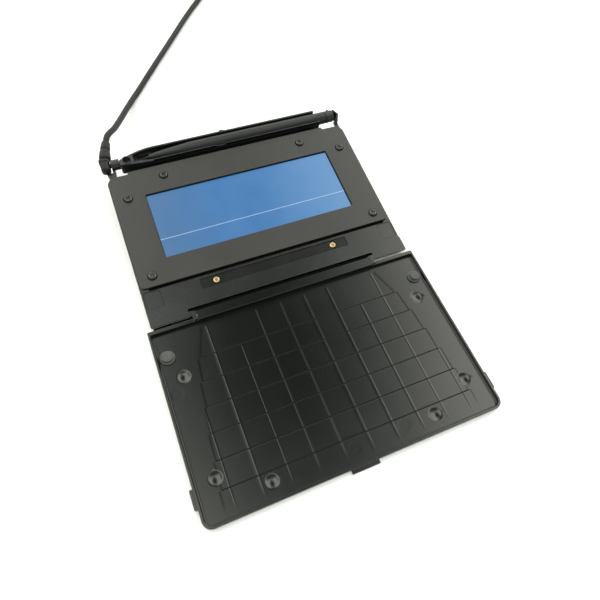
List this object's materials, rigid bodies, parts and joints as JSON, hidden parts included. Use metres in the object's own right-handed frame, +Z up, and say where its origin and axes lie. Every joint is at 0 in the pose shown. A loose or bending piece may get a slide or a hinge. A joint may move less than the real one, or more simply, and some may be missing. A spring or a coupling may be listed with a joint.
{
  "type": "signature pad",
  "caption": "Desktop signature pad with a colour screen, a fold-out ribbed cover, a rear tray holding a stylus, and a coiled USB cable.",
  "frame": {"origin": "on the table, at the middle of the footprint of the open pad and cover, without the cable", "axes": "+X to the user's right, +Y away from the user towards the pen tray, +Z up"},
  "size_m": [0.1728, 0.4929, 0.0201],
  "materials": {
    "housing_grey": "fine moulded texture",
    "face_grey": "satin",
    "cover_black": "semi-gloss moulded",
    "tray_black": "semi-gloss moulded",
    "inlay_black": "matt",
    "rubber_black": "matt",
    "screen_glass": "lit blue screen under clear film",
    "cell_grey": "panel glass",
    "light_guide_white": "milky",
    "board_green": "solder mask",
    "ribbon_amber": "polyimide film",
    "dark_steel": "black oxide",
    "bright_steel": "nickel plated",
    "stud_brass": "gold plated",
    "stylus_grey": "semi-gloss",
    "cable_grey": "matt cable jacket"
  },
  "bodies": {
    "pad": {"housing_base": "housing_grey", "top_frame": "housing_grey", "face_plate": "face_grey", "face_screw_1": "dark_steel", "face_screw_2": "dark_steel", "face_screw_3": "dark_steel", "face_screw_4": "dark_steel", "face_screw_5": "dark_steel", "face_screw_6": "dark_steel", "screen_window": "screen_glass", "lcd_cell": "cell_grey", "lcd_backlight": "light_guide_white", "digitizer_board": "board_green", "main_board": "board_green", "board_screw_1": "bright_steel", "board_screw_2": "bright_steel", "board_screw_3": "bright_steel", "board_screw_4": "bright_steel", "lcd_ribbon": "ribbon_amber", "lead_header": "light_guide_white", "internal_lead": "cable_grey", "channel_inlay": "inlay_black", "brass_stud_1": "stud_brass", "brass_stud_2": "stud_brass", "rubber_foot_1": "rubber_black", "rubber_foot_2": "rubber_black", "rubber_foot_3": "rubber_black", "rubber_foot_4": "rubber_black", "pen_tray": "tray_black", "tray_screw_1": "dark_steel", "tray_screw_2": "dark_steel", "tray_screw_3": "dark_steel", "cable_arm": "housing_grey", "hinge_pin": "bright_steel", "cable_elbow": "cable_grey", "strain_relief": "cable_grey", "cable_run": "cable_grey", "cable_coil": "cable_grey", "cable_tail": "cable_grey", "coil_tie": "rubber_black", "usb_grip": "rubber_black", "usb_shell": "bright_steel"},
    "cover": {"cover_shell": "cover_black", "cover_bumper_1": "rubber_black", "cover_bumper_2": "rubber_black"},
    "stylus": {"stylus_barrel": "stylus_grey", "stylus_nib": "inlay_black", "stylus_cap": "stylus_grey"}
  },
  "joints": [
    {"name": "cover_hinge", "type": "hinge", "parent": "pad", "child": "cover", "pos_m": [0, -0.00553, 0.00435], "axis": [-1, 0, 0], "range_deg": [0, 174.36]},
    {"name": "stylus_lift", "type": "slide", "parent": "pad", "child": "stylus", "axis": [0, -0.0983, 0.9952], "range_m": [0, 0.05]}
  ]
}
